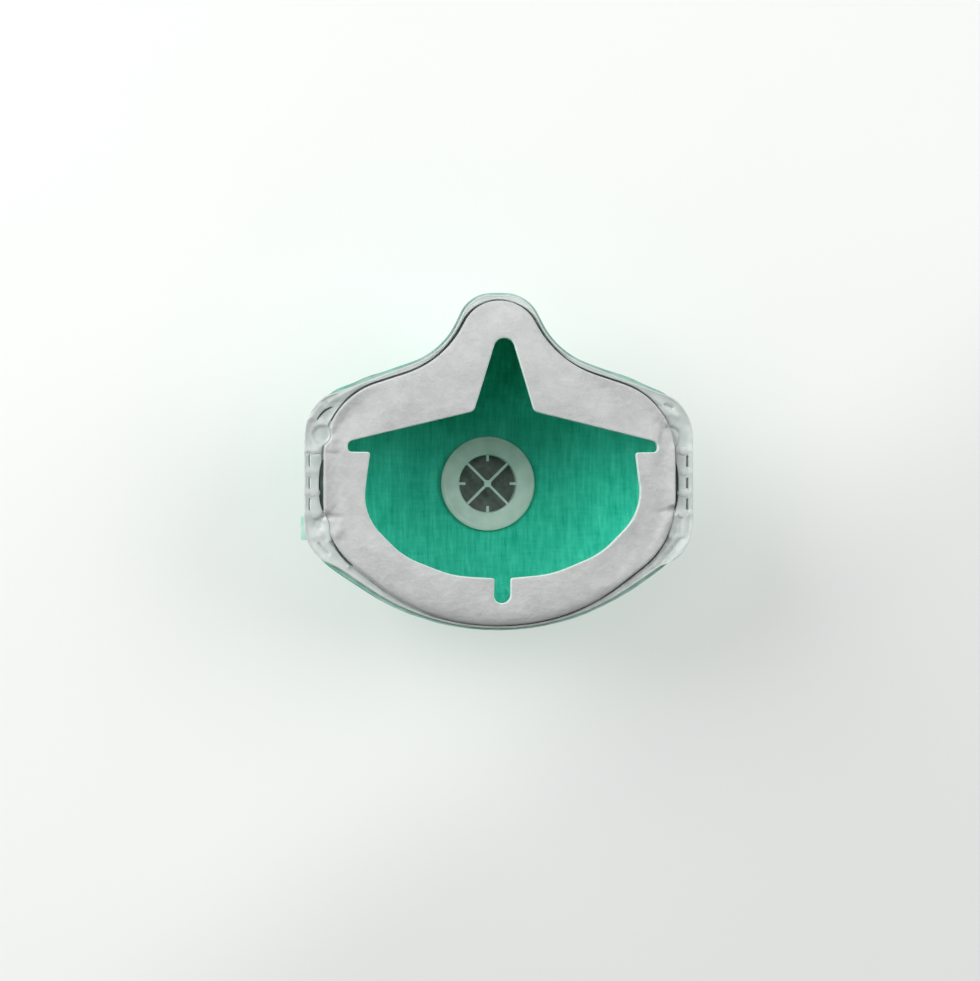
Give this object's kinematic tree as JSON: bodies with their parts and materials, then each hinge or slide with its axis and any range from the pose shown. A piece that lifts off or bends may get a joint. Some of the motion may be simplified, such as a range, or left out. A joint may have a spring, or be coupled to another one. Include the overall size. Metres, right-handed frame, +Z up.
{
  "type": "half mask respirator",
  "caption": "Cup-shaped half mask respirator with a foam face seal, a plastic rim frame with slotted side wings and a round exhalation valve in its flat front.",
  "frame": {"origin": "on the surface that the mask lies on, under the middle of the box round the mask", "axes": "+Z up from the flat front of the valve to the side for the face, +Y to the nose end, +X to the wearer's right"},
  "size_m": [0.1468, 0.1265, 0.0615],
  "materials": {
    "filter_cup": "moulded green nonwoven, matt, with fine streaks of fibre",
    "frame_plastic": "pale grey, slightly see-through soft plastic",
    "seal_foam": "light grey foam with a fine nonwoven face, matt",
    "valve_plastic": "milky pale plastic, satin",
    "flap_rubber": "dark grey membrane, satin",
    "cover_plastic": "pale plastic, satin"
  },
  "bodies": {
    "root": {"cup_shell": "filter_cup", "rim_frame": "frame_plastic", "face_seal": "seal_foam", "valve_seat": "valve_plastic", "valve_flap": "flap_rubber", "valve_cover": "cover_plastic"}
  },
  "joints": []
}
